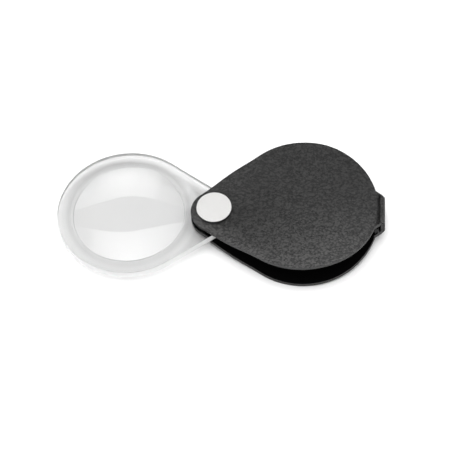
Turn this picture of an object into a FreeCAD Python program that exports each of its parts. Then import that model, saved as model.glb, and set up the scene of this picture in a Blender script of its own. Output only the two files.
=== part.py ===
"""Folding pocket magnifying glass.

A clear, one-piece moulded lens turns on a rivet between the two covers of a leather case. The
covers are cut from one piece of leather that folds round at the far end, the spine, and both
covers bow apart between rivet and spine, which makes room for the lens when it is turned in.

Frame: the origin is the centre of the lower rivet cap's flat face, +Z runs up the pivot axis and
+X runs from the pivot to the spine. Every sub-part is drawn about the mid-plane of the lens
with the pivot at its own origin, and its Placement lifts it to that mid-plane. The rest position
is the lens turned fully out, along -X.
"""
import FreeCAD, Part
import math
import os
import Sketcher

SIZES = {
    # lens
    "flange_thickness": (3.7, "flat flange of the lens"),
    "optic_radius": (25.0, "radius of the domed optic"),
    "upper_rise": (2.85, "height of the upper dome above the flange"),
    "upper_radius": (111.0, "radius of curvature of the upper dome"),
    "lower_rise": (1.3, "height of the flatter, lower dome"),
    "lower_radius": (241.0, "radius of curvature of the lower dome"),
    "flange_radius": (30.75, "big round end of the flange"),
    "lens_centre": (37.0, "pivot to optical axis"),
    "lens_tip": (9.5, "radius of the flange's end round the pivot"),
    "bore_radius": (2.55, "hole in the lens for the bush"),
    # case outline
    "case_radius": (32.1, "big round end of the covers"),
    "case_centre": (38.1, "pivot to the centre of that round end"),
    "case_tip": (10.4, "radius of the covers' tip"),
    "case_tip_centre": (0.5, "pivot to the centre of the tip's radius"),
    "neck_half_width": (6.4, "half width of the leather across the spine"),
    "neck_fillet": (4.0, "fillet between covers and neck"),
    "spine_reach": (73.1, "pivot to the outside of the spine"),
    "spine_half_height": (4.4, "mid-plane to the outside of the spine"),
    "spine_corner": (2.0, "outside bend of the spine"),
    "spine_start": (69.6, "pivot to where cover and spine meet"),
    "cover_reach": (70.3, "pivot to the end of the domed cover"),
    # layers of a cover, and the way the cover bows
    "leather": (0.8, "outer leather"),
    "board": (0.5, "stiffening board"),
    "lining": (0.4, "inner lining"),
    "board_inset": (1.0, "board edge inside the leather's edge"),
    "lining_inset": (0.3, "lining edge inside the leather's edge"),
    "dip_start": (8.5, "radius of the flat clamped ring round the rivet"),
    "dip_radius": (8.0, "hollow bend where the cover starts to rise"),
    "crest_height": (7.45, "mid-plane to the outside of the cover's flat crest"),
    "crest_start": (49.0, "pivot to where the crest starts"),
    "crest_end": (54.0, "pivot to where the crest ends"),
    "far_radius": (47.5, "bend from the crest down to the spine"),
    # pivot
    "washer_gap": (0.15, "room for a slip washer"),
    "washer_play": (0.02, "clearance between a slip washer and the lens"),
    "washer_radius": (7.0, "slip washer, outside"),
    "bush_radius": (2.5, "pivot bush, outside"),
    "bush_bore": (1.85, "pivot bush and cover holes, inside"),
    "socket_radius": (1.8, "hollow half of the rivet, outside"),
    "socket_bore": (1.42, "hollow half of the rivet, inside"),
    "post_radius": (1.4, "solid half of the rivet"),
    "post_head": (2.1, "spread end of the post"),
    "post_head_height": (0.3, "height of the spread end"),
    "cap_radius": (7.85, "rivet cap, outside"),
    "cap_height": (2.0, "rivet cap above the leather"),
    "cap_wall": (0.35, "sheet thickness of the cap"),
    "cap_rounding": (0.6, "rounded edge of the cap"),
    "hub_radius": (6.2, "part of a rivet flange that stands on the leather"),
    "rim_play": (0.02, "clearance between cap and rivet flange"),
    "flange_sheet": (0.4, "thickness of a rivet flange"),
}


class Size:
    """A length worked out from spreadsheet cells, kept as an expression and as its value."""

    def __init__(self, text, value):
        self.text = text
        self.value = value

    def __add__(self, other):
        return Size(f"({self.text} + {other.text})", self.value + other.value)

    def __sub__(self, other):
        return Size(f"({self.text} - {other.text})", self.value - other.value)

    def __mul__(self, number):
        return Size(f"({self.text} * {number})", self.value * number)

    def __neg__(self):
        return self * -1


NOTHING = Size("0", 0.0)
FULL_TURN = 360.0
HALF_TURN = 180.0
TRIM_REACH = 1.3  # the trimming ring reaches this many times as far as the spine
NECK_REACH = 1.15  # and the neck in it this many times


def make_sheet(doc):
    """Write the driving dimensions, one row each, and return them as Size objects."""
    sheet = doc.addObject("Spreadsheet::Sheet", "Sizes")
    sizes = {}
    for row, (alias, (value, note)) in enumerate(SIZES.items(), start=1):
        sheet.set(f"A{row}", alias)
        sheet.set(f"B{row}", str(value))
        sheet.set(f"C{row}", note)
        sheet.setAlias(f"B{row}", alias)
        sizes[alias] = Size(f"Sizes.{alias}", value)
    doc.recompute()
    return sizes


def seat_height(s):
    """Mid-plane to the outside of the leather under a rivet cap."""
    return s["flange_thickness"] * 0.5 + s["washer_gap"] + s["lining"] + s["board"] + s["leather"]


def make_body(doc, s, label, turn=None):
    """A body lifted to the mid-plane. turn is "over" (about X) or "out" (about Z), or None."""
    body = doc.addObject("PartDesign::Body", label)
    body.Label = label
    axis = FreeCAD.Vector(1, 0, 0) if turn == "over" else FreeCAD.Vector(0, 0, 1)
    angle = HALF_TURN if turn else 0.0
    body.Placement = FreeCAD.Placement(FreeCAD.Vector(0, 0, 0), FreeCAD.Rotation(axis, angle))
    body.setExpression("Placement.Base.z", (seat_height(s) + s["cap_height"]).text)
    return body


def make_sketch(body, name, role):
    """A sketch on one of the body's own origin planes."""
    sketch = body.newObject("Sketcher::SketchObject", name)
    plane = next(item for item in body.Origin.OriginFeatures if item.Role == role)
    sketch.AttachmentSupport = [(plane, "")]
    sketch.MapMode = "FlatFace"
    return sketch


def drive(sketch, kind, *where, size):
    """Add a dimension to a sketch and bind it to its expression."""
    index = sketch.addConstraint(Sketcher.Constraint(kind, *where, size.value))
    sketch.setExpression(f"Constraints[{index}]", size.text)


def pin(sketch, edge, end, across=None, up=None):
    """Hold one point of an edge at its place, measured from the sketch's origin."""
    for kind, axis, size in (("DistanceX", -2, across), ("DistanceY", -1, up)):
        if size is None:
            continue
        if size.value == 0:
            sketch.addConstraint(Sketcher.Constraint("PointOnObject", edge, end, axis))
        elif size.value > 0:
            drive(sketch, kind, -1, 1, edge, end, size=size)
        else:
            drive(sketch, kind, edge, end, -1, 1, size=-size)


def meet(sketch, first, first_end, second, second_end, smooth=False):
    """Join two edges' ends, smoothly if asked."""
    kind = "Tangent" if smooth else "Coincident"
    sketch.addConstraint(Sketcher.Constraint(kind, first, first_end, second, second_end))


def add_line(sketch, start, end):
    return sketch.addGeometry(Part.LineSegment(FreeCAD.Vector(*start, 0), FreeCAD.Vector(*end, 0)))


def add_arc(sketch, centre, radius, start_angle, end_angle):
    """An arc that runs anticlockwise from its start to its end."""
    circle = Part.Circle(FreeCAD.Vector(*centre, 0), FreeCAD.Vector(0, 0, 1), radius)
    return sketch.addGeometry(Part.ArcOfCircle(circle, start_angle, end_angle))


def add_circle(sketch, size):
    """A circle round the sketch's origin."""
    circle = Part.Circle(FreeCAD.Vector(0, 0, 0), FreeCAD.Vector(0, 0, 1), size.value)
    edge = sketch.addGeometry(circle)
    meet(sketch, edge, 3, -1, 1)
    drive(sketch, "Radius", edge, size=size)
    return edge


def add_polygon(sketch, corners):
    """A closed outline with every corner held at its place."""
    points = [(across.value, up.value) for across, up in corners]
    edges = [add_line(sketch, points[i - 1], points[i]) for i in range(len(points))]
    for i, (across, up) in enumerate(corners):
        meet(sketch, edges[i], 2, edges[(i + 1) % len(edges)], 1)
        pin(sketch, edges[i], 2, across, up)
    return edges


def add_teardrop(sketch, big, centre, small, small_centre):
    """Two round ends on the X axis joined by their common tangents."""
    lean = math.asin((big.value - small.value) / (centre.value - small_centre.value))
    side = math.pi / 2 + lean
    middle = (centre.value, 0.0)
    tip_middle = (small_centre.value, 0.0)
    touch = [(m + r * math.cos(side), r * math.sin(side))
             for m, r in ((small_centre.value, small.value), (centre.value, big.value))]
    tip = add_arc(sketch, tip_middle, small.value, side, 2 * math.pi - side)
    round_end = add_arc(sketch, middle, big.value, -side, side)
    left = add_line(sketch, touch[0], touch[1])
    right = add_line(sketch, (touch[0][0], -touch[0][1]), (touch[1][0], -touch[1][1]))
    meet(sketch, tip, 1, left, 1, smooth=True)
    meet(sketch, left, 2, round_end, 2, smooth=True)
    meet(sketch, tip, 2, right, 1, smooth=True)
    meet(sketch, right, 2, round_end, 1, smooth=True)
    pin(sketch, tip, 3, small_centre, NOTHING)
    pin(sketch, round_end, 3, centre, NOTHING)
    drive(sketch, "Radius", tip, size=small)
    drive(sketch, "Radius", round_end, size=big)


def add_necked_teardrop(sketch, s, inset):
    """The case's outline, drawn in by inset: a teardrop whose big end runs out into the neck."""
    big = s["case_radius"] - inset
    small = s["case_tip"] - inset
    neck = s["neck_half_width"] - inset
    fillet = s["neck_fillet"] + inset
    centre = s["case_centre"]
    tip_centre = s["case_tip_centre"]
    end = s["spine_reach"] * NECK_REACH
    lean = math.asin((big.value - small.value) / (centre.value - tip_centre.value))
    side = math.pi / 2 + lean
    fillet_up = neck.value + fillet.value
    fillet_out = math.sqrt((big.value + fillet.value) ** 2 - fillet_up ** 2)
    turn = math.atan2(fillet_up, fillet_out)
    tip = add_arc(sketch, (tip_centre.value, 0.0), small.value, side, 2 * math.pi - side)
    pin(sketch, tip, 3, tip_centre, NOTHING)
    drive(sketch, "Radius", tip, size=small)
    ends = []
    rounds = []
    for sign in (1, -1):
        touch = [(m + r * math.cos(side), sign * r * math.sin(side))
                 for m, r in ((tip_centre.value, small.value), (centre.value, big.value))]
        straight = add_line(sketch, touch[0], touch[1])
        hollow_middle = (centre.value + fillet_out, sign * fillet_up)
        neck_start = (hollow_middle[0], sign * neck.value)
        neck_line = add_line(sketch, neck_start, (end.value, sign * neck.value))
        if sign > 0:
            big_arc = add_arc(sketch, (centre.value, 0.0), big.value, turn, side)
            hollow = add_arc(sketch, hollow_middle, fillet.value, math.pi + turn, 1.5 * math.pi)
            tip_end, big_tip, big_neck, hollow_big, hollow_neck = 1, 2, 1, 1, 2
        else:
            big_arc = add_arc(sketch, (centre.value, 0.0), big.value, -side, -turn)
            hollow = add_arc(sketch, hollow_middle, fillet.value, 0.5 * math.pi, math.pi - turn)
            tip_end, big_tip, big_neck, hollow_big, hollow_neck = 2, 1, 2, 2, 1
        meet(sketch, tip, tip_end, straight, 1, smooth=True)
        meet(sketch, straight, 2, big_arc, big_tip, smooth=True)
        meet(sketch, big_arc, big_neck, hollow, hollow_big, smooth=True)
        meet(sketch, hollow, hollow_neck, neck_line, 1, smooth=True)
        sketch.addConstraint(Sketcher.Constraint("Horizontal", neck_line))
        pin(sketch, neck_line, 2, end, neck * sign)
        drive(sketch, "Radius", big_arc, size=big)
        drive(sketch, "Radius", hollow, size=fillet)
        ends.append(neck_line)
        rounds.append(big_arc)
    pin(sketch, rounds[0], 3, centre, NOTHING)
    meet(sketch, rounds[0], 3, rounds[1], 3)
    closing = add_line(sketch, (end.value, neck.value), (end.value, -neck.value))
    meet(sketch, closing, 1, ends[0], 2)
    meet(sketch, closing, 2, ends[1], 2)


def add_layer_section(sketch, s, depth, thickness, reach):
    """Half section of one layer of a cover: flat at the rivet, up to the crest, down at the end.

    depth is how far the layer's outside lies below the leather's outside.
    """
    dip_x = s["dip_start"]
    crest_x = s["crest_start"]
    low = seat_height(s) - depth
    high = s["crest_height"] - depth
    rise = high.value - low.value
    run = crest_x.value - dip_x.value
    both_radii = (run ** 2 + rise ** 2) / (2 * rise)
    slope = math.asin(run / both_radii)
    skins = []
    for inwards in (NOTHING, thickness):
        dip_radius = s["dip_radius"] + depth + inwards
        far_radius = s["far_radius"] - depth - inwards
        rise_radius = both_radii - dip_radius.value
        flat_up = low.value - inwards.value
        top_up = high.value - inwards.value
        far_angle = math.acos((reach.value - s["crest_end"].value) / far_radius.value)
        flat = add_line(sketch, (0.0, flat_up), (dip_x.value, flat_up))
        dip_middle = (dip_x.value, flat_up + dip_radius.value)
        dip = add_arc(sketch, dip_middle, dip_radius.value, 1.5 * math.pi, 1.5 * math.pi + slope)
        rise_middle = (crest_x.value, top_up - rise_radius)
        hill = add_arc(sketch, rise_middle, rise_radius, 0.5 * math.pi, 0.5 * math.pi + slope)
        crest = add_line(sketch, (crest_x.value, top_up), (s["crest_end"].value, top_up))
        far_middle = (s["crest_end"].value, top_up - far_radius.value)
        far = add_arc(sketch, far_middle, far_radius.value, far_angle, 0.5 * math.pi)
        sketch.addConstraint(Sketcher.Constraint("Horizontal", flat))
        meet(sketch, flat, 2, dip, 1, smooth=True)
        meet(sketch, dip, 2, hill, 2, smooth=True)
        meet(sketch, hill, 1, crest, 1, smooth=True)
        meet(sketch, crest, 2, far, 2, smooth=True)
        sketch.addConstraint(Sketcher.Constraint("Horizontal", crest))
        pin(sketch, flat, 1, NOTHING, low - inwards)
        pin(sketch, flat, 2, across=dip_x)
        pin(sketch, crest, 1, crest_x, high - inwards)
        pin(sketch, crest, 2, across=s["crest_end"])
        pin(sketch, far, 1, across=reach)
        drive(sketch, "Radius", dip, size=dip_radius)
        drive(sketch, "Radius", far, size=far_radius)
        far_up = far_middle[1] + far_radius.value * math.sin(far_angle)
        skins.append((flat, far, flat_up, far_up))
    outer, inner = skins
    axis_edge = add_line(sketch, (0.0, outer[2]), (0.0, inner[2]))
    end_edge = add_line(sketch, (reach.value, outer[3]), (reach.value, inner[3]))
    for edge, part in ((axis_edge, 0), (end_edge, 1)):
        meet(sketch, edge, 1, outer[part], 1)
        meet(sketch, edge, 2, inner[part], 1)


def add_spine_section(sketch, s, depth, thickness):
    """Section of one layer of the spine: two short straps and the bends that join them."""
    start = s["spine_start"]
    skins = []
    for inwards in (NOTHING, thickness):
        reach = s["spine_reach"] - depth - inwards
        half = s["spine_half_height"] - depth - inwards
        bend = s["spine_corner"] - depth - inwards
        before = reach - bend
        straight = half - bend
        top = add_line(sketch, (start.value, half.value), (before.value, half.value))
        upper = add_arc(sketch, (before.value, straight.value), bend.value, 0.0, math.pi / 2)
        back = add_line(sketch, (reach.value, straight.value), (reach.value, -straight.value))
        lower = add_arc(sketch, (before.value, -straight.value), bend.value, -math.pi / 2, 0.0)
        bottom = add_line(sketch, (before.value, -half.value), (start.value, -half.value))
        for edge, end, across, up in (
            (top, 1, start, half), (top, 2, before, half), (back, 1, reach, straight),
            (back, 2, reach, -straight), (bottom, 1, before, -half), (bottom, 2, start, -half),
        ):
            pin(sketch, edge, end, across, up)
        meet(sketch, upper, 2, top, 2)
        meet(sketch, upper, 1, back, 1)
        meet(sketch, lower, 2, back, 2)
        meet(sketch, lower, 1, bottom, 1)
        drive(sketch, "Radius", upper, size=bend)
        drive(sketch, "Radius", lower, size=bend)
        skins.append((top, bottom, half.value))
    outer, inner = skins
    for part, end, sign in ((0, 1, 1), (1, 2, -1)):
        edge = add_line(sketch, (start.value, sign * outer[2]), (start.value, sign * inner[2]))
        meet(sketch, edge, 1, outer[part], end)
        meet(sketch, edge, 2, inner[part], end)


def pad(body, sketch, length):
    """Extrude a sketch equally to both sides of its plane."""
    feature = body.newObject("PartDesign::Pad", f"{sketch.Name}_pad")
    feature.Profile = (sketch, [""])
    feature.SideType = "Symmetric"
    feature.setExpression("Length", length.text)
    body.Document.recompute()
    return feature


def pocket(body, sketch):
    """Cut a sketch out of the whole body, to both sides of its plane."""
    before = body.Shape.Volume
    feature = body.newObject("PartDesign::Pocket", f"{sketch.Name}_pocket")
    feature.Profile = (sketch, [""])
    feature.SideType = "Symmetric"
    feature.Type = "ThroughAll"
    body.Document.recompute()
    if not body.Shape.Volume < before:
        raise RuntimeError(f"{feature.Name} in {body.Label} cuts nothing")
    return feature


def revolve(body, sketch):
    """Turn a sketch once round its own vertical axis."""
    feature = body.newObject("PartDesign::Revolution", f"{sketch.Name}_turned")
    feature.Profile = (sketch, [""])
    feature.ReferenceAxis = (sketch, ["V_Axis"])
    feature.Angle = FULL_TURN
    body.Document.recompute()
    return feature


def mirror_down(body, feature):
    """Repeat a feature below the mid-plane."""
    mirrored = body.newObject("PartDesign::Mirrored", "lower_side")
    mirrored.Originals = [feature]
    plane = next(item for item in body.Origin.OriginFeatures if item.Role == "XY_Plane")
    mirrored.MirrorPlane = (plane, [""])
    body.Tip = mirrored
    body.Document.recompute()
    return mirrored


def make_wrapped_layer(doc, s, label, depth, fold_depth, thickness, inset):
    """A layer that covers both sides of the case in one piece and folds round the spine.

    depth and fold_depth are how far it lies below the leather's outside, on a cover and at
    the spine, where there is no board.
    """
    body = make_body(doc, s, label)
    fold = make_sketch(body, f"{label}_fold", "XZ_Plane")
    add_spine_section(fold, s, fold_depth, thickness)
    pad(body, fold, s["case_radius"])
    section = make_sketch(body, f"{label}_section", "XZ_Plane")
    add_layer_section(section, s, depth, thickness, s["cover_reach"])
    mirror_down(body, revolve(body, section))
    trim = make_sketch(body, f"{label}_trim", "XY_Plane")
    add_circle(trim, s["spine_reach"] * TRIM_REACH)
    add_necked_teardrop(trim, s, inset)
    add_circle(trim, s["bush_bore"])
    pocket(body, trim)
    return body


def make_board(doc, s, label, turn=None):
    """A stiffening board: the middle layer of one cover, without the neck."""
    body = make_body(doc, s, label, turn)
    section = make_sketch(body, f"{label}_section", "XZ_Plane")
    add_layer_section(section, s, s["leather"], s["board"], s["cover_reach"])
    revolve(body, section)
    trim = make_sketch(body, f"{label}_trim", "XY_Plane")
    add_circle(trim, s["spine_reach"] * TRIM_REACH)
    inset = s["board_inset"]
    add_teardrop(trim, s["case_radius"] - inset, s["case_centre"],
                 s["case_tip"] - inset, s["case_tip_centre"])
    add_circle(trim, s["bush_bore"])
    pocket(body, trim)
    return body


def add_dome_section(sketch, s):
    """Half section of the optic about its own axis: two domes on a straight rim."""
    rim = s["optic_radius"]
    half = s["flange_thickness"] * 0.5
    high = half + s["upper_rise"]
    low = half + s["lower_rise"]
    upper_radius = s["upper_radius"].value
    lower_radius = s["lower_radius"].value
    upper_middle = (0.0, high.value - upper_radius)
    lower_middle = (0.0, lower_radius - low.value)
    upper_angle = math.acos(rim.value / upper_radius)
    lower_angle = math.acos(rim.value / lower_radius)
    upper = add_arc(sketch, upper_middle, upper_radius, upper_angle, math.pi / 2)
    lower = add_arc(sketch, lower_middle, lower_radius, -math.pi / 2, -lower_angle)
    edge = add_line(sketch, (rim.value, -half.value), (rim.value, half.value))
    axis = add_line(sketch, (0.0, high.value), (0.0, -low.value))
    pin(sketch, edge, 1, rim, -half)
    pin(sketch, edge, 2, rim, half)
    pin(sketch, axis, 1, NOTHING, high)
    pin(sketch, axis, 2, NOTHING, -low)
    meet(sketch, edge, 2, upper, 1)
    meet(sketch, edge, 1, lower, 2)
    meet(sketch, axis, 1, upper, 2)
    meet(sketch, axis, 2, lower, 1)
    pin(sketch, upper, 3, across=NOTHING)
    pin(sketch, lower, 3, across=NOTHING)


def make_lens(doc, s):
    """The moulded lens: a teardrop flange with a domed optic and the hole for the bush."""
    body = make_body(doc, s, "lens", turn="out")
    outline = make_sketch(body, "lens_outline", "XY_Plane")
    add_teardrop(outline, s["flange_radius"], s["lens_centre"], s["lens_tip"], NOTHING)
    pad(body, outline, s["flange_thickness"])
    dome = make_sketch(body, "lens_dome", "XZ_Plane")
    dome.setExpression("AttachmentOffset.Base.x", s["lens_centre"].text)
    add_dome_section(dome, s)
    revolve(body, dome)
    bore = make_sketch(body, "lens_bore", "XY_Plane")
    add_circle(bore, s["bore_radius"])
    pocket(body, bore)
    return body


def make_turned(doc, s, label, corners, turn=None):
    """A turned piece about the pivot axis from the corners of its half section."""
    body = make_body(doc, s, label, turn)
    section = make_sketch(body, f"{label}_section", "XZ_Plane")
    add_polygon(section, corners)
    revolve(body, section)
    return body


def make_washer(doc, s, label, turn=None):
    """A slip washer between the lens and the lining."""
    low = s["flange_thickness"] * 0.5 + s["washer_play"]
    high = s["flange_thickness"] * 0.5 + s["washer_gap"]
    inner, outer = s["bore_radius"], s["washer_radius"]
    return make_turned(doc, s, label, [(inner, low), (outer, low), (outer, high), (inner, high)], turn)


def make_bush(doc, s):
    """The sleeve that the lens turns on. It keeps the linings apart."""
    high = s["flange_thickness"] * 0.5 + s["washer_gap"]
    inner, outer = s["bush_bore"], s["bush_radius"]
    return make_turned(doc, s, "pivot_bush",
                       [(inner, -high), (outer, -high), (outer, high), (inner, high)])


def flange_levels(s):
    """Heights of a rivet flange: leather, underside of its rim, top."""
    seat = seat_height(s)
    rim = seat + s["cap_wall"] + s["rim_play"]
    return seat, rim, rim + s["flange_sheet"]


def make_socket(doc, s):
    """The hollow half of the rivet, with its flange on the upper cover."""
    seat, rim, top = flange_levels(s)
    bore, tube, hub = s["socket_bore"], s["socket_radius"], s["hub_radius"]
    edge = s["cap_radius"] - s["cap_wall"] - s["rim_play"]
    corners = [(bore, -seat), (tube, -seat), (tube, seat), (hub, seat),
               (hub, rim), (edge, rim), (edge, top), (bore, top)]
    return make_turned(doc, s, "rivet_socket", corners)


def make_post(doc, s):
    """The solid half of the rivet: flange under the lower cover, end spread over the socket."""
    seat, rim, top = flange_levels(s)
    post, hub, head = s["post_radius"], s["hub_radius"], s["post_head"]
    edge = s["cap_radius"] - s["cap_wall"] - s["rim_play"]
    end = top + s["post_head_height"]
    corners = [(NOTHING, -top), (edge, -top), (edge, -rim), (hub, -rim), (hub, -seat),
               (post, -seat), (post, top), (head, top), (head, end), (NOTHING, end)]
    return make_turned(doc, s, "rivet_post", corners)


def make_cap(doc, s, label, turn=None):
    """A pressed cap, its rim turned in under the edge of a rivet flange."""
    seat, rim, _ = flange_levels(s)
    lip = rim - s["rim_play"]
    outside = s["cap_radius"]
    inside = outside - s["cap_wall"]
    top = seat + s["cap_height"]
    roof = top - s["cap_wall"]
    mouth = s["hub_radius"] + s["rim_play"]
    corners = [(NOTHING, roof), (inside, roof), (inside, lip), (mouth, lip),
               (mouth, seat), (outside, seat), (outside, top), (NOTHING, top)]
    body = make_turned(doc, s, label, corners, turn)
    rounding = body.newObject("PartDesign::Fillet", f"{label}_rounding")
    rounding.Base = (body.Group[-2], [outer_edge(body, outside.value, top.value)])
    rounding.setExpression("Radius", s["cap_rounding"].text)
    doc.recompute()
    return body


def outer_edge(body, radius, height):
    """Name of the round edge at a radius and height in the body's own frame."""
    shape = body.Group[-2].Shape
    for number, edge in enumerate(shape.Edges, start=1):
        is_round = isinstance(edge.Curve, Part.Circle)
        if is_round and abs(edge.Curve.Radius - radius) < 1e-6 \
                and abs(edge.Curve.Center.z - height) < 1e-6:
            return f"Edge{number}"
    raise RuntimeError(f"{body.Label} has no edge at radius {radius} and height {height}")


def check(doc, bodies):
    """Stop on any object that failed and any sub-part that isn't one valid solid."""
    for item in doc.Objects:
        if "Invalid" in item.State or "Error" in item.State:
            raise RuntimeError(f"{item.Name} is {item.State}")
    for body in bodies:
        shape = body.Shape
        if shape.isNull() or not shape.isValid() or len(shape.Solids) != 1:
            raise RuntimeError(f"{body.Label} is not one valid solid")


def main():
    doc = FreeCAD.newDocument("pocket_magnifier")
    s = make_sheet(doc)
    bodies = [
        make_wrapped_layer(doc, s, "outer_leather", NOTHING, NOTHING, s["leather"], NOTHING),
        make_wrapped_layer(doc, s, "inner_lining", s["leather"] + s["board"], s["leather"],
                           s["lining"], s["lining_inset"]),
        make_board(doc, s, "upper_board"),
        make_board(doc, s, "lower_board", turn="over"),
        make_lens(doc, s),
        make_washer(doc, s, "upper_slip_washer"),
        make_washer(doc, s, "lower_slip_washer", turn="over"),
        make_bush(doc, s),
        make_socket(doc, s),
        make_post(doc, s),
        make_cap(doc, s, "upper_cap"),
        make_cap(doc, s, "lower_cap", turn="over"),
    ]
    doc.recompute()
    check(doc, bodies)
    os.makedirs("parts", exist_ok=True)
    for body in bodies:
        body.Shape.exportStep(os.path.join("parts", f"{body.Label}.step"))
        box = body.Shape.optimalBoundingBox()
        print(f"{body.Label:18s} volume {body.Shape.Volume:9.1f}  x {box.XMin:7.2f} {box.XMax:7.2f}"
              f"  y {box.YMin:7.2f} {box.YMax:7.2f}  z {box.ZMin:6.2f} {box.ZMax:6.2f}")


main()
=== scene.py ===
"""Looks for the folding pocket magnifier: clear moulded lens, capped rivet, black leather case."""
import math

import bmesh
import bpy
import numpy as np
from mathutils import Matrix, Vector, noise


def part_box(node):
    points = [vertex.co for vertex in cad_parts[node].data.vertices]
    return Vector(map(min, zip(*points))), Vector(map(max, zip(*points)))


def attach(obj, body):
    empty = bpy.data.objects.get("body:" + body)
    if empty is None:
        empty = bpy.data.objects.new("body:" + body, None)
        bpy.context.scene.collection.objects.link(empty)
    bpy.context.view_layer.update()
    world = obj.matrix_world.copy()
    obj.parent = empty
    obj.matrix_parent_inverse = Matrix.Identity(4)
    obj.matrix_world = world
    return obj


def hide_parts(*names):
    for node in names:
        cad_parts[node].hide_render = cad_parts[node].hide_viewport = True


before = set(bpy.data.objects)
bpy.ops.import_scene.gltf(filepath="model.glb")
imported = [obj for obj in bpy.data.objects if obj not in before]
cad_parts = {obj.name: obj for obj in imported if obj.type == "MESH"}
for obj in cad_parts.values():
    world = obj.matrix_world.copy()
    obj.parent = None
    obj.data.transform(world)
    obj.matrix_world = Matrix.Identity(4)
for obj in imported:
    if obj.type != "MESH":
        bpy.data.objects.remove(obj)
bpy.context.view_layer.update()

# ---------------------------------------------------------------- sizes, in millimetres
MM = 0.001

CAP_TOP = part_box("upper_cap")[1].z / MM        # top face of the upper cap
MID = CAP_TOP / 2                              # the lens's mid-plane
CASE_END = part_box("outer_leather")[1].x / MM   # outside of the spine

LEATHER, BOARD, LINING = 0.8, 0.5, 0.4         # layers of a cover
CAP_HEIGHT = 2.0
SEAT = CAP_TOP - CAP_HEIGHT - MID              # mid-plane to the leather under the cap
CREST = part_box("outer_leather")[1].z / MM - MID
DIP_START, DIP_RADIUS = 8.5, 8.0               # where a cover leaves the cap, and its hollow
CREST_START, CREST_END, FAR_RADIUS = 49.0, 54.0, 47.5
HOLE = 1.85                                    # radius of the covers' hole for the rivet

CASE_RADIUS, CASE_CENTRE = 32.15, (38.15, 0.3)
CASE_TIP, CASE_TIP_CENTRE, SIDE_BULGE = 10.3, (0.2, -0.6), 0.55
COVER_END, STRAIGHT_HALF, STRAIGHT_LEAN = 69.75, 7.5, 0.35
NECK_HALF, NECK_FLARE = 6.5, 0.72
STRAP_START = 68.2                             # where the strap begins, inside the covers
SPINE_HALF, SPINE_CORNER, SPINE_WALL = 4.4, 2.0, 1.9   # half height, bend, whole thickness
GROOVE, GROOVE_DEPTH, GROOVE_RAMP = 71.3, 1.7, 1.2     # crease between covers and strap
GROOVE_HALF, GROOVE_FADE = 8.2, 1.6                    # its half width, and how it runs out

OPTIC_RADIUS, LOWER_OPTIC, OPTIC_CENTRE = 25.0, 23.6, (-37.0, 0.0)
FLANGE_RADIUS, FLANGE_HALF, LENS_TIP = 30.75, 1.85, 9.5
UPPER_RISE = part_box("lens")[1].z / MM - MID - FLANGE_HALF
LOWER_RISE = MID - FLANGE_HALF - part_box("lens")[0].z / MM
OPTIC_STEP, RIM_ROUND = 0.12, 0.22             # step round a dome, rounding of the lens's rim
BORE = 2.55                                    # radius of the lens's hole

CAP_FACE, CAP_WALL, CAP_RIM = 7.42, 7.5, 6.25  # radii of the cap's face, wall and turned-in rim
CAP_BEVEL, CAP_CROWN, CAP_SHEET = 0.1, 0.01, 0.35

FLOOR_GAP = 0.02                               # between the lowest point and the floor


# ---------------------------------------------------------------- mesh helpers
def new_piece(name, points, faces, body, node, slot, *materials):
    """A smooth mesh from points in millimetres that rides on a body and stands for a node."""
    mesh = bpy.data.meshes.new(name)
    mesh.from_pydata((np.asarray(points, float) * MM).tolist(), [], faces)
    mesh.polygons.foreach_set("use_smooth", [True] * len(mesh.polygons))
    mesh.update()
    piece = bpy.data.objects.new(name, mesh)
    bpy.context.collection.objects.link(piece)
    for material in materials:
        mesh.materials.append(material)
    fix_normals(mesh)
    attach(piece, body)
    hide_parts(node)
    return piece


def paint_faces(mesh, test):
    """Give the second material to the faces that pass a test of index, centre and normal."""
    for face in mesh.polygons:
        if test(face.index, face.center / MM, face.normal):
            face.material_index = 1


def fix_normals(mesh):
    """Turn every face outwards."""
    work = bmesh.new()
    work.from_mesh(mesh)
    bmesh.ops.recalc_face_normals(work, faces=work.faces)
    work.to_mesh(mesh)
    work.free()


def ring_faces(count, rings, around=False):
    """Quads between neighbouring rings of count points each. around joins last to first."""
    faces = []
    for i in range(rings if around else rings - 1):
        a, b = i * count, ((i + 1) % rings) * count
        for j in range(count):
            k = (j + 1) % count
            faces.append((a + j, a + k, b + k, b + j))
    return faces


def sharpen(mesh, degrees):
    """Mark the edges where two faces meet at more than an angle."""
    work = bmesh.new()
    work.from_mesh(mesh)
    for edge in work.edges:
        if len(edge.link_faces) == 2:
            edge.smooth = edge.calc_face_angle() < math.radians(degrees)
    work.to_mesh(mesh)
    work.free()


# ---------------------------------------------------------------- outlines
def arc_points(centre, radius, start, end, count):
    turn = np.linspace(start, end, count)
    return np.stack([centre[0] + radius * np.cos(turn), centre[1] + radius * np.sin(turn)], 1)


def tangent_angle(big, big_centre, small, small_centre, side):
    """Direction from both centres to the points of their common outer tangent on one side."""
    gap = np.subtract(big_centre, small_centre)
    lean = math.asin((big - small) / np.hypot(*gap))
    return math.atan2(gap[1], gap[0]) + side * (math.pi / 2 + lean)


def teardrop(big, big_centre, small, small_centre, step=0.1, bulge=0.0):
    """Dense closed outline of two round ends and their tangents, anticlockwise.

    The sides swell by the bulge in their middle.
    """
    upper = tangent_angle(big, big_centre, small, small_centre, 1)
    lower = tangent_angle(big, big_centre, small, small_centre, -1)
    round_end = arc_points(big_centre, big, lower, upper, int(big * 4 / step))
    tip = arc_points(small_centre, small, upper, lower + 2 * math.pi, int(small * 3 / step))
    sides = [swollen(start, end, angle, bulge) for start, end, angle in
             ((round_end[-1], tip[0], upper), (tip[-1], round_end[0], lower))]
    return resample(np.concatenate([round_end, sides[0], tip, sides[1]]), step)


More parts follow.
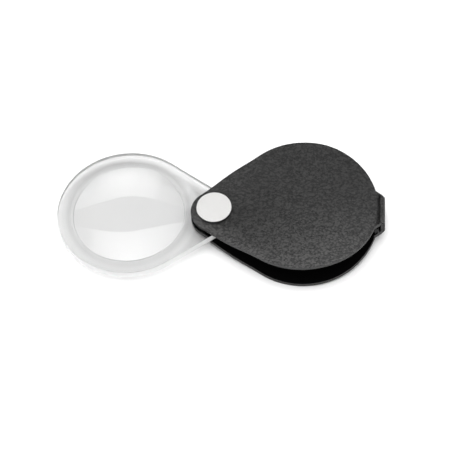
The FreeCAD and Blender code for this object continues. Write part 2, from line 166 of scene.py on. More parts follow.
def swollen(start, end, angle, bulge):
    """Points between two ends of a tangent, pushed out along its normal."""
    along = np.linspace(0, 1, 60)[1:-1, None]
    out = np.array([math.cos(angle), math.sin(angle)])
    return start + (end - start) * along + out * bulge * np.sin(math.pi * along) ** 2


def resample(outline, step):
    """The same closed outline with evenly spaced points."""
    closed = np.vstack([outline, outline[:1]])
    along = np.concatenate([[0], np.cumsum(np.hypot(*np.diff(closed, axis=0).T))])
    where = np.linspace(0, along[-1], max(8, int(along[-1] / step)), endpoint=False)
    return np.stack([np.interp(where, along, closed[:, i]) for i in (0, 1)], 1)


# ---------------------------------------------------------------- leather covers
def cover_height(reach, depth):
    """Height above the mid-plane of a surface that lies depth below the leather's outside."""
    low, high = SEAT - depth, CREST - depth
    rise, run = high - low, CREST_START - DIP_START
    both = (run ** 2 + rise ** 2) / (2 * rise)
    dip, far = DIP_RADIUS + depth, FAR_RADIUS - depth
    hill = both - dip
    dip_end = DIP_START + dip * run / both
    in_dip = low + dip - np.sqrt(np.maximum(dip ** 2 - (reach - DIP_START) ** 2, 0))
    on_hill = high - hill + np.sqrt(np.maximum(hill ** 2 - (CREST_START - reach) ** 2, 0))
    beyond = high - far + np.sqrt(np.maximum(far ** 2 - (reach - CREST_END) ** 2, 0))
    zones = [reach <= DIP_START, reach <= dip_end, reach <= CREST_START, reach <= CREST_END]
    heights = [np.full_like(reach, low), in_dip, on_hill, np.full_like(reach, high)]
    return np.select(zones, heights, beyond)


def handling_waves(x, y, side):
    """Small height changes of worn leather, all inwards: dents, and creases towards the spine."""
    heights = np.empty(x.size)
    for i, (px, py) in enumerate(zip(x.ravel(), y.ravel())):
        dents = noise.noise(Vector((px * 0.07, py * 0.07, 3.0 + side)))
        long_crease = noise.noise(Vector((px * 0.045 + py * 0.02, py * 0.33, 8.0 + side)))
        near_spine = noise.noise(Vector((px * 0.05, py * 0.75, 13.0 + side)))
        fade = math.exp(-((72.0 - px) / 16.0) ** 2)
        heights[i] = 0.10 * dents + 0.09 * fade * near_spine
        heights[i] += 0.045 * long_crease * (1 - abs(long_crease))
    deepest = 0.15
    off_cap = np.clip((np.hypot(x, y) - 9.0) / 8.0, 0, 1)
    return (heights.reshape(x.shape) - deepest) * off_cap


def cover_rings(outline, depth, thickness, side, rounding, fine):
    """Closed rings of one layer of a cover, from the rivet hole out, over the edge and back in."""
    coarse = 14
    reach = np.hypot(outline[:, 0], outline[:, 1])
    direction = outline / reach[:, None]
    bends = np.linspace(0, math.pi / 2, 5)
    top = [(HOLE + (reach - rounding - HOLE) * t, 0.0) for t in np.linspace(0, 1, fine)]
    top += [(reach - rounding * (1 - math.sin(a)), rounding * (1 - math.cos(a))) for a in bends[1:]]
    under = [(reach - rounding * (1 - math.sin(a)), thickness - rounding * (1 - math.cos(a)))
             for a in bends[::-1]]
    under += [(HOLE + (reach - rounding - HOLE) * t, thickness)
              for t in np.linspace(1, 0, coarse)[1:]]
    rings = []
    for ring_reach, below in top + under:
        xy = direction * ring_reach[:, None]
        height = cover_height(ring_reach, depth + below)
        rings.append(np.column_stack([xy, height]))
    rings = np.array(rings)
    rings[:, :, 2] += handling_waves(rings[:, :, 0], rings[:, :, 1], side)
    rings[:, :, 2] = MID + side * rings[:, :, 2]
    return rings


def add_cover(points, faces, rings):
    """Append one layer's rings to a piece."""
    start = len(points)
    count = rings.shape[1]
    faces += [tuple(start + v for v in face) for face in ring_faces(count, len(rings), around=True)]
    points += rings.reshape(-1, 3).tolist()


def neck_width(x, inset):
    """Half width of the strap at the spine: flared where it leaves the covers."""
    return NECK_HALF - inset + NECK_FLARE * max(CASE_END - 0.4 - x, 0)


def spine_path(depth, start):
    """Outside of one layer of the spine in the XZ plane, from the upper cover to the lower."""
    reach, half = CASE_END - depth, SPINE_HALF - depth
    bend = SPINE_CORNER - depth
    straight = np.linspace(start, reach - bend, 40)[:-1]
    upper = np.column_stack([straight, np.full(len(straight), half)])
    corner = arc_points((reach - bend, half - bend), bend, math.pi / 2, 0, 9)
    back = np.column_stack([np.full(5, reach), np.linspace(half - bend, -(half - bend), 7)[1:-1]])
    path = np.vstack([upper, corner, back])
    lower = path[::-1] * (1, -1)
    return np.vstack([upper, corner, back, lower[len(back):]])


def smooth(t):
    """An even rise from 0 to 1, flat at both ends."""
    t = min(max(t, 0), 1)
    return t * t * (3 - 2 * t)


def groove(x, y):
    """Depth of the crease between a cover and the strap round the spine."""
    along, across = (GROOVE - x) / GROOVE_RAMP, (GROOVE_HALF - abs(y)) / GROOVE_FADE
    return GROOVE_DEPTH * smooth(along) * smooth(across)


def add_spine(points, faces, depth, thickness, inset, start, rounding):
    """Append a strap that folds round the spine, with rounded edges and closed ends."""
    path = spine_path(depth, start)
    run = np.gradient(path, axis=0)
    run /= np.hypot(*run.T)[:, None]
    inward = np.column_stack([run[:, 1], -run[:, 0]])
    bends = np.linspace(0, math.pi / 2, 4)
    across = np.linspace(-1, 1, 25)
    first = len(points)
    count = None
    for (x, z), (nx, nz) in zip(path, inward):
        width = float(neck_width(x, inset))
        straight = width - rounding
        loop = [(straight * t, 0.0) for t in across]
        loop += [(straight + rounding * math.sin(a), rounding * (1 - math.cos(a)))
                 for a in bends[1:]]
        loop += [(straight + rounding * math.sin(a), thickness - rounding * (1 - math.cos(a)))
                 for a in bends[::-1]]
        loop += [(straight * t, thickness) for t in across[::-1][1:]]
        loop += [(-straight - rounding * math.sin(a), thickness - rounding * (1 - math.cos(a)))
                 for a in bends[1:]]
        loop += [(-straight - rounding * math.sin(a), rounding * (1 - math.cos(a)))
                 for a in bends[::-1][:-1]]
        count = len(loop)
        points += [(x + nx * below, y, MID + z + nz * below - math.copysign(groove(x, y), z))
                   for y, below in loop]
    faces += [tuple(first + v for v in face) for face in ring_faces(count, len(path))]
    faces.append(tuple(first + j for j in range(count)))
    last = first + count * (len(path) - 1)
    faces.append(tuple(last + j for j in range(count)))


def case_outline(inset, step):
    """A cover's edge: a teardrop whose big end is straight where it meets the spine."""
    outline = teardrop(CASE_RADIUS - inset, CASE_CENTRE, CASE_TIP - inset, CASE_TIP_CENTRE,
                       bulge=SIDE_BULGE)
    across = np.abs(outline[:, 1])
    straight = COVER_END - inset - STRAIGHT_LEAN * np.maximum(across - NECK_HALF, 0)
    near = (across < STRAIGHT_HALF) & (outline[:, 0] > straight)
    outline[near, 0] = straight[near]
    return resample(outline, step)


def make_case_layer(name, node, slot, materials, depth, thickness, fold, inset, rounding, fine):
    """Leather or lining: both covers and the strap round the spine, in one piece.

    fold is the depth and the thickness at the spine. The second material is for cut edges.
    """
    points, faces = [], []
    outline = case_outline(inset, 0.6)
    for side in (1, -1):
        add_cover(points, faces, cover_rings(outline, depth, thickness, side, rounding, fine))
    covers = len(faces)
    add_spine(points, faces, *fold, inset, STRAP_START, rounding * 0.7)
    piece = new_piece(name, points, faces, "case", node, slot, *materials)

    def is_cut(index, centre, normal):
        if index < covers:
            return abs(normal.z) < 0.6 and math.hypot(centre.x, centre.y) > 5
        return abs(normal.y) > 0.6

    paint_faces(piece.data, is_cut)
    return piece


def make_board(name, node, side, material):
    """A stiffening board between leather and lining."""
    points, faces = [], []
    outline = case_outline(0.1, 0.8)
    add_cover(points, faces, cover_rings(outline, LEATHER, BOARD, side, rounding=0.1, fine=24))
    return new_piece(name, points, faces, "case", node, "fibre_board", material)


# ---------------------------------------------------------------- lens
def polar_reach(outline, centre, turns):
    """Distance from a centre to a closed outline in each direction."""
    gap = outline - np.array(centre)
    angle = np.arctan2(gap[:, 1], gap[:, 0])
    order = np.argsort(angle)
    return np.interp(turns, angle[order], np.hypot(*gap.T)[order], period=2 * math.pi)


def lens_half(reach, count, optic, rise):
    """Rings of one side of the lens, from the middle of its dome out to the rim."""
    bulge = rise - OPTIC_STEP
    ball = (optic ** 2 + bulge ** 2) / (2 * bulge)
    drop = math.sqrt(ball ** 2 - optic ** 2)
    foot = optic + OPTIC_STEP
    rings = [(np.full(count, r), FLANGE_HALF + OPTIC_STEP + math.sqrt(ball ** 2 - r ** 2) - drop)
             for r in np.linspace(0, optic, 56)[1:]]
    rings += [(np.full(count, optic + 0.05), FLANGE_HALF + OPTIC_STEP * 0.5),
              (np.full(count, foot), FLANGE_HALF)]
    rings += [(foot + (reach - RIM_ROUND - foot) * t, FLANGE_HALF) for t in (0.04, 0.3, 0.65, 1.0)]
    rings += [(reach - RIM_ROUND * (1 - math.sin(a)), FLANGE_HALF - RIM_ROUND * (1 - math.cos(a)))
              for a in np.linspace(0, math.pi / 2, 6)[1:]]
    return rings


def make_lens(clear, rim):
    """One clear moulding: domes on a teardrop flange, softened rim, hole for the bush."""
    count = 480
    turns = np.linspace(-math.pi, math.pi, count, endpoint=False)
    outline = teardrop(FLANGE_RADIUS, OPTIC_CENTRE, LENS_TIP, (0.0, 0.0), 0.05)
    reach = polar_reach(outline, OPTIC_CENTRE, turns)
    heights = lens_half(reach, count, OPTIC_RADIUS, UPPER_RISE)
    heights += [(r, -z) for r, z in lens_half(reach, count, LOWER_OPTIC, LOWER_RISE)[::-1]]
    points = []
    for radius, height in heights:
        points += np.column_stack([OPTIC_CENTRE[0] + radius * np.cos(turns),
                                   OPTIC_CENTRE[1] + radius * np.sin(turns),
                                   np.full(count, MID + height)]).tolist()
    faces = ring_faces(count, len(heights))
    top, bottom = len(points), len(points) + 1
    points += [(*OPTIC_CENTRE, MID + FLANGE_HALF + UPPER_RISE),
               (*OPTIC_CENTRE, MID - FLANGE_HALF - LOWER_RISE)]
    last = count * (len(heights) - 1)
    for j in range(count):
        k = (j + 1) % count
        faces.append((top, j, k))
        faces.append((bottom, last + k, last + j))
    lens = new_piece("clear_lens", points, faces, "lens", "lens", "clear_acrylic", clear, rim)
    cut_bore(lens)
    paint_faces(lens.data, lambda index, centre, normal: abs(normal.z) < 0.4)
    sharpen(lens.data, 30)
    return lens


def cut_bore(lens):
    """Cut the bush's hole through the flange."""
    bpy.ops.mesh.primitive_cylinder_add(vertices=96, radius=BORE * MM, depth=4 * FLANGE_HALF * MM,
                                        location=(0, 0, MID * MM))
    drill = bpy.context.object
    cut = lens.modifiers.new("bore", "BOOLEAN")
    cut.operation = "DIFFERENCE"
    cut.solver = "EXACT"
    cut.object = drill
    graph = bpy.context.evaluated_depsgraph_get()
    shape = bpy.data.meshes.new_from_object(lens.evaluated_get(graph))
    lens.modifiers.clear()
    lens.data = shape
    bpy.data.objects.remove(drill)


# ---------------------------------------------------------------- rivet caps
def make_cap(name, node, side, face, skirt):
    """A pressed cap: flat polished face, sharp little bevel, straight skirt coloured darker as
    painted shade.
    """
    count = 256
    top = CAP_TOP - MID
    inside, roof = CAP_WALL - CAP_SHEET, top - CAP_SHEET
    profile = [(CAP_FACE * q, top - CAP_CROWN * q * q) for q in np.linspace(0, 1, 14)[1:]]
    profile += [(CAP_WALL, top - CAP_BEVEL), (CAP_WALL, SEAT + 0.12),
                (CAP_WALL - 0.03, SEAT + 0.04), (CAP_WALL - 0.12, SEAT)]
    profile += [(CAP_RIM + 0.05, SEAT), (CAP_RIM, SEAT + 0.06), (CAP_RIM, SEAT + CAP_SHEET),
                (inside - 0.35, SEAT + CAP_SHEET), (inside, roof - 0.1), (inside - 0.25, roof),
                (4.0, roof), (1.5, roof)]
    turns = np.linspace(0, 2 * math.pi, count, endpoint=False)
    points = []
    for radius, height in profile:
        points += np.column_stack([radius * np.cos(turns), radius * np.sin(turns),
                                   np.full(count, MID + side * height)]).tolist()
    faces = ring_faces(count, len(profile))
    top_middle, roof_middle = len(points), len(points) + 1
    points += [(0, 0, MID + side * top), (0, 0, MID + side * roof)]
    last = count * (len(profile) - 1)
    for j in range(count):
        k = (j + 1) % count
        faces.append((top_middle, j, k))
        faces.append((roof_middle, last + k, last + j))
    cap = new_piece(name, points, faces, "case", node, "bright_nickel", face, skirt)
    paint_faces(cap.data, lambda index, centre, normal: abs(normal.z) < 0.3)
    sharpen(cap.data, 40)
    return cap


# ---------------------------------------------------------------- materials
COLOUR_A, COLOUR_B = 6, 7                      # colour inputs of a Mix node


def grey(value):
    return (value, value, value)


def used_output(node):
    """A node's first output that is in use."""
    return next(output for output in node.outputs if output.enabled)


class Nodes:
    """A material's node tree with short calls to add and join nodes."""

    def __init__(self, name):
        self.material = bpy.data.materials.new(name)
        self.material.use_nodes = True
        self.tree = self.material.node_tree
        self.tree.nodes.clear()
        self.output = self.add("ShaderNodeOutputMaterial")
        self.shader = self.add("ShaderNodeBsdfPrincipled")
        self.link(self.shader, "BSDF", self.output, "Surface")
        self.coordinates = self.add("ShaderNodeTexCoord")

    def add(self, kind, **settings):
        node = self.tree.nodes.new(kind)
        for key, value in settings.items():
            if key.startswith("in_"):
                node.inputs[key[3:].replace("_", " ")].default_value = value
            else:
                setattr(node, key, value)
        return node

    def link(self, source, output, target, socket):
        self.tree.links.new(source.outputs[output], target.inputs[socket])

    def feed(self, base=None, rough=None, normal=None):
        """Join nodes to the shader's base colour, roughness and normal."""
        for node, socket in ((base, "Base Color"), (rough, "Roughness"), (normal, "Normal")):
            if node:
                self.tree.links.new(used_output(node), self.shader.inputs[socket])

    def place(self, scale):
        """Object coordinates in millimetres, stretched by scale."""
        mapping = self.add("ShaderNodeMapping")
        mapping.inputs["Scale"].default_value = [value / MM for value in scale]
        self.link(self.coordinates, "Object", mapping, "Vector")
        return mapping

    def noise(self, scale, detail=4.0, rough=0.55):
        """Noise of a size per millimetre: a number, or one for each direction."""
        scale = (scale,) * 3 if isinstance(scale, (int, float)) else scale
        texture = self.add("ShaderNodeTexNoise", in_Scale=1.0, in_Detail=detail, in_Roughness=rough)
        self.link(self.place(scale), "Vector", texture, "Vector")
        return texture

    def towards(self, direction, start, end):
        """0 to 1 between two distances, in millimetres, along a direction."""
        along = self.add("ShaderNodeVectorMath", operation="DOT_PRODUCT")
        along.inputs[1].default_value = direction
        self.link(self.place((1.0, 1.0, 1.0)), "Vector", along, 0)
        return self.spread(along, "Value", 0.0, 1.0, start, end)

    def blend(self, kind, first, second, amount=None):
        """Two colours joined by a blend type, fully or by the amount of a third node."""
        node = self.add("ShaderNodeMix", data_type="RGBA", blend_type=kind)
        node.inputs["Factor"].default_value = 1.0
        self.tree.links.new(used_output(first), node.inputs[COLOUR_A])
        self.tree.links.new(used_output(second), node.inputs[COLOUR_B])
        if amount:
            self.tree.links.new(used_output(amount), node.inputs["Factor"])
        return node

    def spread(self, source, output, low, high, start=0.3, end=0.7):
        """Map a texture's value onto a range."""
        node = self.add("ShaderNodeMapRange")
        sockets = ("From Min", "From Max", "To Min", "To Max")
        for socket, value in zip(sockets, (start, end, low, high)):
            node.inputs[socket].default_value = value
        self.link(source, output, node, "Value")
        return node

    def tones(self, source, output, dark, light, start=0.3, end=0.7):
        """Map a texture's value onto two colours."""
        node = self.add("ShaderNodeValToRGB")
        node.color_ramp.elements[0].position = start
        node.color_ramp.elements[0].color = (*dark, 1)
        node.color_ramp.elements[1].position = end
        node.color_ramp.elements[1].color = (*light, 1)
        self.link(source, output, node, "Fac")
        return node

    def greys(self, source, output, first, last, *between):
        """Map 0 to 1 onto greys, with more of them between as (place, grey)."""
        node = self.tones(source, output, grey(first), grey(last), 0.0, 1.0)
        for place, value in between:
            node.color_ramp.elements.new(place).color = (*grey(value), 1)
        return node

    def bump(self, source, output, depth, strength, under=None):
        """A bump of a depth in millimetres, on top of another bump if given."""
        node = self.add("ShaderNodeBump")
        node.inputs["Strength"].default_value = strength
        node.inputs["Distance"].default_value = depth * MM
        self.link(source, output, node, "Height")
        if under:
            self.link(under, "Normal", node, "Normal")
        return node

    def set(self, **values):
        """Set the shader's plain values."""
        for key, value in values.items():
            self.shader.inputs[key.replace("_", " ")].default_value = value


def pebbles(look):
    """Rounded grains about a millimetre across, with wandering outlines: 1 on top, 0 between."""
    warp = look.noise(0.5, 3.0)
    bend = look.add("ShaderNodeVectorMath", operation="MULTIPLY_ADD")
    bend.inputs[1].default_value = (1.3, 1.3, 1.3)
    look.link(warp, "Color", bend, 0)
    look.link(look.place((1.0, 1.3, 1.15)), "Vector", bend, 2)
    cells = look.add("ShaderNodeTexVoronoi", feature="SMOOTH_F1", in_Scale=1.0, in_Smoothness=0.6)
    look.link(bend, "Vector", cells, "Vector")
    return look.spread(cells, "Distance", 1.0, 0.0, 0.1, 0.65)


def wrinkle_lines(look):
    """Distance in tone from thin lines that run along the cover: 0 on a line."""
    wrinkles = look.noise((0.24, 0.46, 0.4), 5.0, 0.6)
    centred = look.add("ShaderNodeMath", operation="SUBTRACT")
    centred.inputs[1].default_value = 0.5
    look.link(wrinkles, "Fac", centred, 0)
    distance = look.add("ShaderNodeMath", operation="ABSOLUTE")
    look.link(centred, "Value", distance, 0)
    return distance


def painted_sheen_side(look):
    """Painted sheen: how much paler the leather is painted, most along the near side, least at the
    back, in place of light caught where the cover curves.
    """
    side = look.greys(look.towards((-0.2, 1.0, 0.0), -38.0, 24.0), "Result", 0.78, 0.32,
                      (0.25, 0.52), (0.5, 0.35), (0.75, 0.32))
    slant = look.greys(look.towards((-0.57, -0.82, 0.0), 0.0, 10.0), "Result", 0.25, 0.85)
    return look.blend("LIGHTEN", side, slant)


def leather_material():
    """Black calf leather: pebbled grain and fine wrinkles, with painted shade between the grains
    and in the wrinkles, and one side painted paler as sheen.
    """
    look = Nodes("black_leather_grain")
    lines = wrinkle_lines(look)
    crease = look.spread(lines, "Value", 0.1, 1.0, 0.0, 0.045)
    crease.interpolation_type = "SMOOTHSTEP"
    surface = look.add("ShaderNodeMath", operation="MULTIPLY")
    look.link(pebbles(look), "Result", surface, 0)
    look.link(crease, "Result", surface, 1)
    # Painted shade: the colour darkens between the grains and in the wrinkles, where the leather
    # would lie in shade.
    base = look.tones(surface, "Value", (0.038, 0.038, 0.038), (0.08, 0.079, 0.078), 0.0, 0.5)
    # Painted shade: the wrinkle lines are darkened further in the colour.
    painted_crease_shade = look.tones(lines, "Value", grey(0.3), grey(1.0), 0.004, 0.022)
    crease_shaded_colour = look.blend("MULTIPLY", base, painted_crease_shade)
    pores = look.noise(2.6, 5.0, 0.65)
    lumps = look.noise((0.4, 0.52, 0.5), 3.0, 0.55)
    grain = look.spread(surface, "Value", 0.0, 1.0, 0.0, 0.4)
    grain.interpolation_type = "SMOOTHSTEP"
    grained = look.bump(grain, "Result", 0.1, 0.9)
    lumpy = look.bump(lumps, "Fac", 0.18, 0.9, grained)
    # The colour is multiplied by the painted sheen, paler along the near side.
    look.feed(look.blend("MULTIPLY", crease_shaded_colour, painted_sheen_side(look)),
              look.spread(pores, "Fac", 0.30, 0.42), look.bump(pores, "Fac", 0.1, 0.8, lumpy))
    look.set(Specular_IOR_Level=0.16)
    return look.material


def cut_edge_material():
    """The cut edge of the leather: dyed fibres with a burnished surface."""
    look = Nodes("leather_cut_edge")
    fibres = look.noise((2.0, 2.0, 9.0), 5.0, 0.65)
    look.feed(look.tones(fibres, "Fac", (0.009, 0.009, 0.009), (0.022, 0.0217, 0.0215)),
              look.spread(fibres, "Fac", 0.45, 0.7), look.bump(fibres, "Fac", 0.06, 0.7))
    return look.material


def lining_material():
    """Napped black lining, its tone pushed almost to zero as painted shade in the gap between the
    covers.
    """
    look = Nodes("black_lining_nap")
    nap = look.noise((5.0, 2.2, 5.0), 6.0, 0.7)
    # Black lining, made darker still as painted shade for the gap between the covers.
    look.feed(look.tones(nap, "Fac", (0.0006, 0.0006, 0.0006), (0.002, 0.002, 0.002)),
              look.spread(nap, "Fac", 0.85, 1.0), look.bump(nap, "Fac", 0.08, 0.7))
    look.set(Specular_IOR_Level=0.03)
    return look.material


def board_material():
    """Pressed fibre board, dyed at the edge."""
    look = Nodes("fibre_board_fibres")
    fibres = look.noise((1.2, 6.0, 6.0), 6.0, 0.7)
    look.feed(look.tones(fibres, "Fac", (0.035, 0.035, 0.034), (0.06, 0.059, 0.057)),
              look.spread(fibres, "Fac", 0.7, 0.95), look.bump(fibres, "Fac", 0.06, 0.6))
    look.set(Specular_IOR_Level=0.3)
    return look.material


def painted_lens_shade(look):
    """Painted shade in the tint of the moulding: darker round the domes, at the flange's rim and on
    its far side, standing for the lens's shadow on the floor seen through it.
    """
    centred = look.add("ShaderNodeVectorMath", operation="MULTIPLY_ADD")
    centred.inputs[1].default_value = (1 / MM, 1 / MM, 0.0)
    centred.inputs[2].default_value = (-OPTIC_CENTRE[0], -OPTIC_CENTRE[1], 0.0)
    look.link(look.coordinates, "Object", centred, 0)
    reach = look.add("ShaderNodeVectorMath", operation="LENGTH")
    look.link(centred, "Vector", reach, 0)
    across = look.spread(reach, "Value", 0.0, 1.0, OPTIC_RADIUS, FLANGE_RADIUS)
    # Painted shade: a darker ring round the domes and at the rim.
    ring = look.greys(across, "Result", 0.895, 0.80, (0.03, 0.86), (0.2, 0.84), (0.45, 0.925),
                      (0.78, 0.93))
    flange = look.greys(across, "Result", 0.0, 0.0, (0.03, 1.0), (0.86, 1.0))
    towards_back = look.add("ShaderNodeVectorMath", operation="DOT_PRODUCT")
    towards_back.inputs[1].default_value = (-0.2, 1.0, 0.0)
    look.link(centred, "Vector", towards_back, 0)
    # Painted shade: the far side of the flange is darkened.
    far_side_shade = look.spread(towards_back, "Value", 0.0, 1.0, 7.0, 27.0)
    back = look.greys(far_side_shade, "Result", 1.0, 0.80)
    return look.blend("MULTIPLY", ring, back, flange)


def acrylic_material():
    """Clear moulded acrylic with faint handling marks, its tint carrying painted shade."""
    look = Nodes("clear_acrylic_moulded")
    marks = look.noise((0.5, 5.0, 0.5), 6.0, 0.7)
    flow = look.noise(0.05, 2.0, 0.5)
    cloud = look.tones(flow, "Fac", (0.985, 0.988, 0.988), (1.0, 1.0, 0.998))
    look.feed(look.blend("MULTIPLY", cloud, painted_lens_shade(look)),
              look.spread(marks, "Fac", 0.0, 0.03, 0.5, 0.8), look.bump(flow, "Fac", 0.02, 0.15))
    look.set(Transmission_Weight=1.0, IOR=1.49)
    return look.material


def rim_material():
    """The lens's narrow side wall: the same acrylic, frosted by the mould's draft faces."""
    look = Nodes("acrylic_rim_frosted")
    streaks = look.noise((0.25, 0.25, 3.0), 5.0, 0.6)
    look.feed(look.tones(streaks, "Fac", grey(0.86), grey(0.90)),
              look.spread(streaks, "Fac", 0.08, 0.3), look.bump(streaks, "Fac", 0.03, 0.5))
    look.set(Transmission_Weight=0.3, IOR=1.49)
    return look.material


def metal_material(name, dark, light, rough_low, rough_high, scale, depth=0.01):
    """Plated or turned metal with fine rubbed marks."""
    look = Nodes(name)
    marks = look.noise(scale, 7.0, 0.7)
    clouds = look.noise(0.35, 3.0, 0.6)
    look.feed(look.tones(clouds, "Fac", dark, light),
              look.spread(marks, "Fac", rough_low, rough_high),
              look.bump(marks, "Fac", depth, 0.25))
    look.set(Metallic=1.0)
    return look.material


def nylon_material():
    """Natural nylon sheet."""
    look = Nodes("nylon_washer_sheet")
    speckle = look.noise(3.0, 4.0, 0.6)
    look.feed(look.tones(speckle, "Fac", (0.62, 0.61, 0.57), (0.7, 0.69, 0.65)),
              look.spread(speckle, "Fac", 0.35, 0.5), look.bump(speckle, "Fac", 0.01, 0.4))
    look.set(Subsurface_Weight=0.1)
    return look.material


def floor_material():
    """Smooth matt paper."""
    look = Nodes("floor_white")
    look.feed(look.tones(look.noise(0.004, 3.0), "Fac", grey(0.80), grey(0.82)))
    look.set(Roughness=0.9, Specular_IOR_Level=0.1)
    return look.material


def paint(node, material):
    """Give a CAD node's own object a material."""
    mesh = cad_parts[node].data
    mesh.materials.clear()
    mesh.materials.append(material)


# ---------------------------------------------------------------- stage
def make_floor():
    """A plain pale floor just below the case, tilted as the case lies: on its crest and cap."""
    cap = Vector((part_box("lower_cap")[0].x, 0, 0))
    crest = Vector(((CREST_START + CREST_END) / 2 * MM, 0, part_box("outer_leather")[0].z))
    tilt = math.atan2(cap.z - crest.z, crest.x - cap.x)
    reach = 4.0
    mesh = bpy.data.meshes.new("floor")
    corners = [(-reach, -reach, 0), (reach, -reach, 0), (reach, reach, 0), (-reach, reach, 0)]
    mesh.from_pydata(corners, [], [(0, 1, 2, 3)])
    floor = bpy.data.objects.new("floor", mesh)
    bpy.context.collection.objects.link(floor)
    up = Vector((math.sin(tilt), 0, math.cos(tilt)))
    lowest = min((vertex.co - crest).dot(up) for name in ("leather_case", "lower_rivet_cap")
                 for vertex in bpy.data.objects[name].data.vertices)
    floor.location = crest + up * (lowest - FLOOR_GAP * MM)
    floor.rotation_euler = (0, tilt, 0)
    mesh.materials.append(floor_material())


# Soft edges of the light overhead, in ceiling heights: where it begins and where it is full.
FAR_EDGE, NEAR_EDGE, RIGHT_EDGE = (0.286, 0.274), (-0.45, -0.15), (0.95, 0.7)
LEFT_PART = (-0.42, -0.33)                     # beyond this edge the light is weaker
WEAK, FULL = 0.35, 1.0
EVEN_GLOW, HOT_GLOW = 2.3, 4.4                 # the light's own strength, and its hot middle's


class Sky:
    """The world's node tree with short calls for maths and soft steps."""

    def __init__(self, name):
        self.world = bpy.data.worlds.new(name)
        self.world.use_nodes = True
        self.tree = self.world.node_tree
        direction = self.tree.nodes.new("ShaderNodeTexCoord")
        axes = self.tree.nodes.new("ShaderNodeSeparateXYZ")
        self.tree.links.new(direction.outputs["Generated"], axes.inputs[0])
        self.x, self.y, self.z = axes.outputs

    def maths(self, operation, *values):
        """One operation on numbers and sockets."""
        node = self.tree.nodes.new("ShaderNodeMath")
        node.operation = operation
        for socket, value in zip(node.inputs, values):
            if isinstance(value, (int, float)):
                socket.default_value = value
            else:
                self.tree.links.new(value, socket)
        return node.outputs[0]

    def fade(self, value, start, end):
        """A soft step: 0 at the start, 1 at the end."""
        node = self.tree.nodes.new("ShaderNodeMapRange")
        node.interpolation_type = "SMOOTHSTEP"
        node.inputs["From Min"].default_value = start
        node.inputs["From Max"].default_value = end
        self.tree.links.new(value, node.inputs["Value"])
        return node.outputs["Result"]


def soft_light(sky):
    """A wide soft light on the ceiling, weaker on its left, with a hot middle.

    Its place is seen from the object: u runs to the right, v to the back, in ceiling heights.
    The lens mirrors its far edge, which bows.
    """
    up = sky.maths("MAXIMUM", sky.z, 0.02)
    u = sky.maths("DIVIDE", sky.x, up)
    v = sky.maths("DIVIDE", sky.y, up)
    beside = sky.maths("ADD", u, 0.12)
    bend = sky.maths("SQRT", sky.maths("MULTIPLY_ADD", beside, beside, 0.04))
    far_edge = sky.fade(sky.maths("MULTIPLY_ADD", bend, -0.55, v), *FAR_EDGE)
    near_edge, right_edge = sky.fade(v, *NEAR_EDGE), sky.fade(u, *RIGHT_EDGE)
    left_part = sky.maths("MULTIPLY_ADD", sky.fade(u, *LEFT_PART), FULL - WEAK, WEAK)
    shape = sky.maths("MULTIPLY", far_edge, near_edge)
    shape = sky.maths("MULTIPLY", sky.maths("MULTIPLY", shape, right_edge), left_part)
    across = sky.maths("POWER", sky.maths("MULTIPLY_ADD", u, 3.3, 0.16), 2.0)
    along = sky.maths("POWER", sky.maths("MULTIPLY_ADD", v, 3.3, -0.26), 2.0)
    hot = sky.maths("EXPONENT", sky.maths("MULTIPLY", sky.maths("ADD", across, along), -1.0))
    return sky.maths("MULTIPLY", shape, sky.maths("MULTIPLY_ADD", hot, HOT_GLOW, EVEN_GLOW))


def surround(sky):
    """An even surround that is brighter to the right and in front."""
    right = sky.maths("MULTIPLY_ADD", sky.fade(sky.x, 0.2, 0.65), 0.2, 0.75)
    return sky.maths("MULTIPLY_ADD", sky.fade(sky.y, -0.3, -0.8), 0.35, right)


def make_light():
    """White light from a surround and a soft light overhead."""
    sky = Sky("studio")
    background = sky.tree.nodes["Background"]
    background.inputs["Color"].default_value = (1, 1, 1, 1)
    strength = sky.maths("ADD", soft_light(sky), surround(sky))
    sky.tree.links.new(strength, background.inputs["Strength"])
    bpy.context.scene.world = sky.world
    bpy.context.scene.view_settings.view_transform = "Standard"


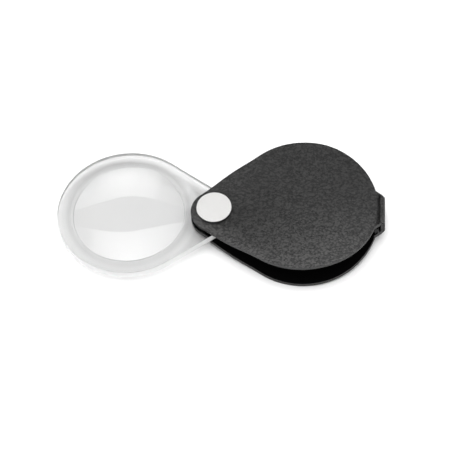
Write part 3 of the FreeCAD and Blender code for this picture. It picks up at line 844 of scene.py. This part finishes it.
def make_camera():
    """Looks down on the magnifier from in front, turned so that its long axis lies level."""
    azimuth, elevation, roll = math.radians(6.218), math.radians(56.897), math.radians(-5.199)
    distance = 1.196
    aim = Vector((0.00574, -0.0068, MID * MM))
    level = math.cos(elevation)
    back = Vector((math.sin(azimuth) * level, -math.cos(azimuth) * level, math.sin(elevation)))
    data = bpy.data.cameras.new("camera")
    data.sensor_width = 36.0
    data.lens = 221.05
    data.clip_start, data.clip_end = 0.05, 20.0
    camera = bpy.data.objects.new("camera", data)
    bpy.context.collection.objects.link(camera)
    camera.location = aim + back * distance
    turn = (-back).to_track_quat("-Z", "Y").to_matrix() @ Matrix.Rotation(roll, 3, "Z")
    camera.rotation_euler = turn.to_euler()
    bpy.context.scene.camera = camera


# ---------------------------------------------------------------- build
def main():
    leather = leather_material()
    lining = lining_material()
    board = board_material()
    nickel = metal_material("satin_nickel", (0.885, 0.88, 0.868), (0.925, 0.92, 0.908), 0.16, 0.24,
                            (0.7, 6.0, 0.7), depth=0.004)
    # Painted shade: the skirt's nickel is coloured dark, standing for the shade and dark leather
    # its wall would mirror.
    painted_shade_nickel = metal_material("nickel_skirt_painted_shade", grey(0.2), grey(0.3), 0.25, 0.4,
                                 (2.0, 2.0, 9.0))
    zinc = metal_material("zinc_plate", grey(0.42), grey(0.55), 0.3, 0.5, (2.0, 2.0, 9.0))
    brass = metal_material("turned_brass", (0.6, 0.42, 0.18), (0.72, 0.52, 0.24), 0.2, 0.4,
                           (0.8, 0.8, 12.0))
    edge = cut_edge_material()
    make_case_layer("leather_case", "outer_leather", "black_leather", (leather, edge),
                    depth=0.0, thickness=LEATHER, fold=(0.0, LEATHER), inset=0.0, rounding=0.25,
                    fine=76)
    make_case_layer("case_lining", "inner_lining", "black_lining", (lining, edge),
                    depth=LEATHER + BOARD, thickness=LINING, fold=(LEATHER, SPINE_WALL - LEATHER),
                    inset=0.12, rounding=0.12, fine=30)
    make_board("upper_stiffener", "upper_board", 1, board)
    make_board("lower_stiffener", "lower_board", -1, board)
    make_lens(acrylic_material(), rim_material())
    make_cap("upper_rivet_cap", "upper_cap", 1, nickel, painted_shade_nickel)
    make_cap("lower_rivet_cap", "lower_cap", -1, nickel, painted_shade_nickel)
    nylon = nylon_material()
    paint("upper_slip_washer", nylon)
    paint("lower_slip_washer", nylon)
    paint("pivot_bush", brass)
    paint("rivet_socket", zinc)
    paint("rivet_post", zinc)
    make_floor()
    make_light()
    make_camera()


main()
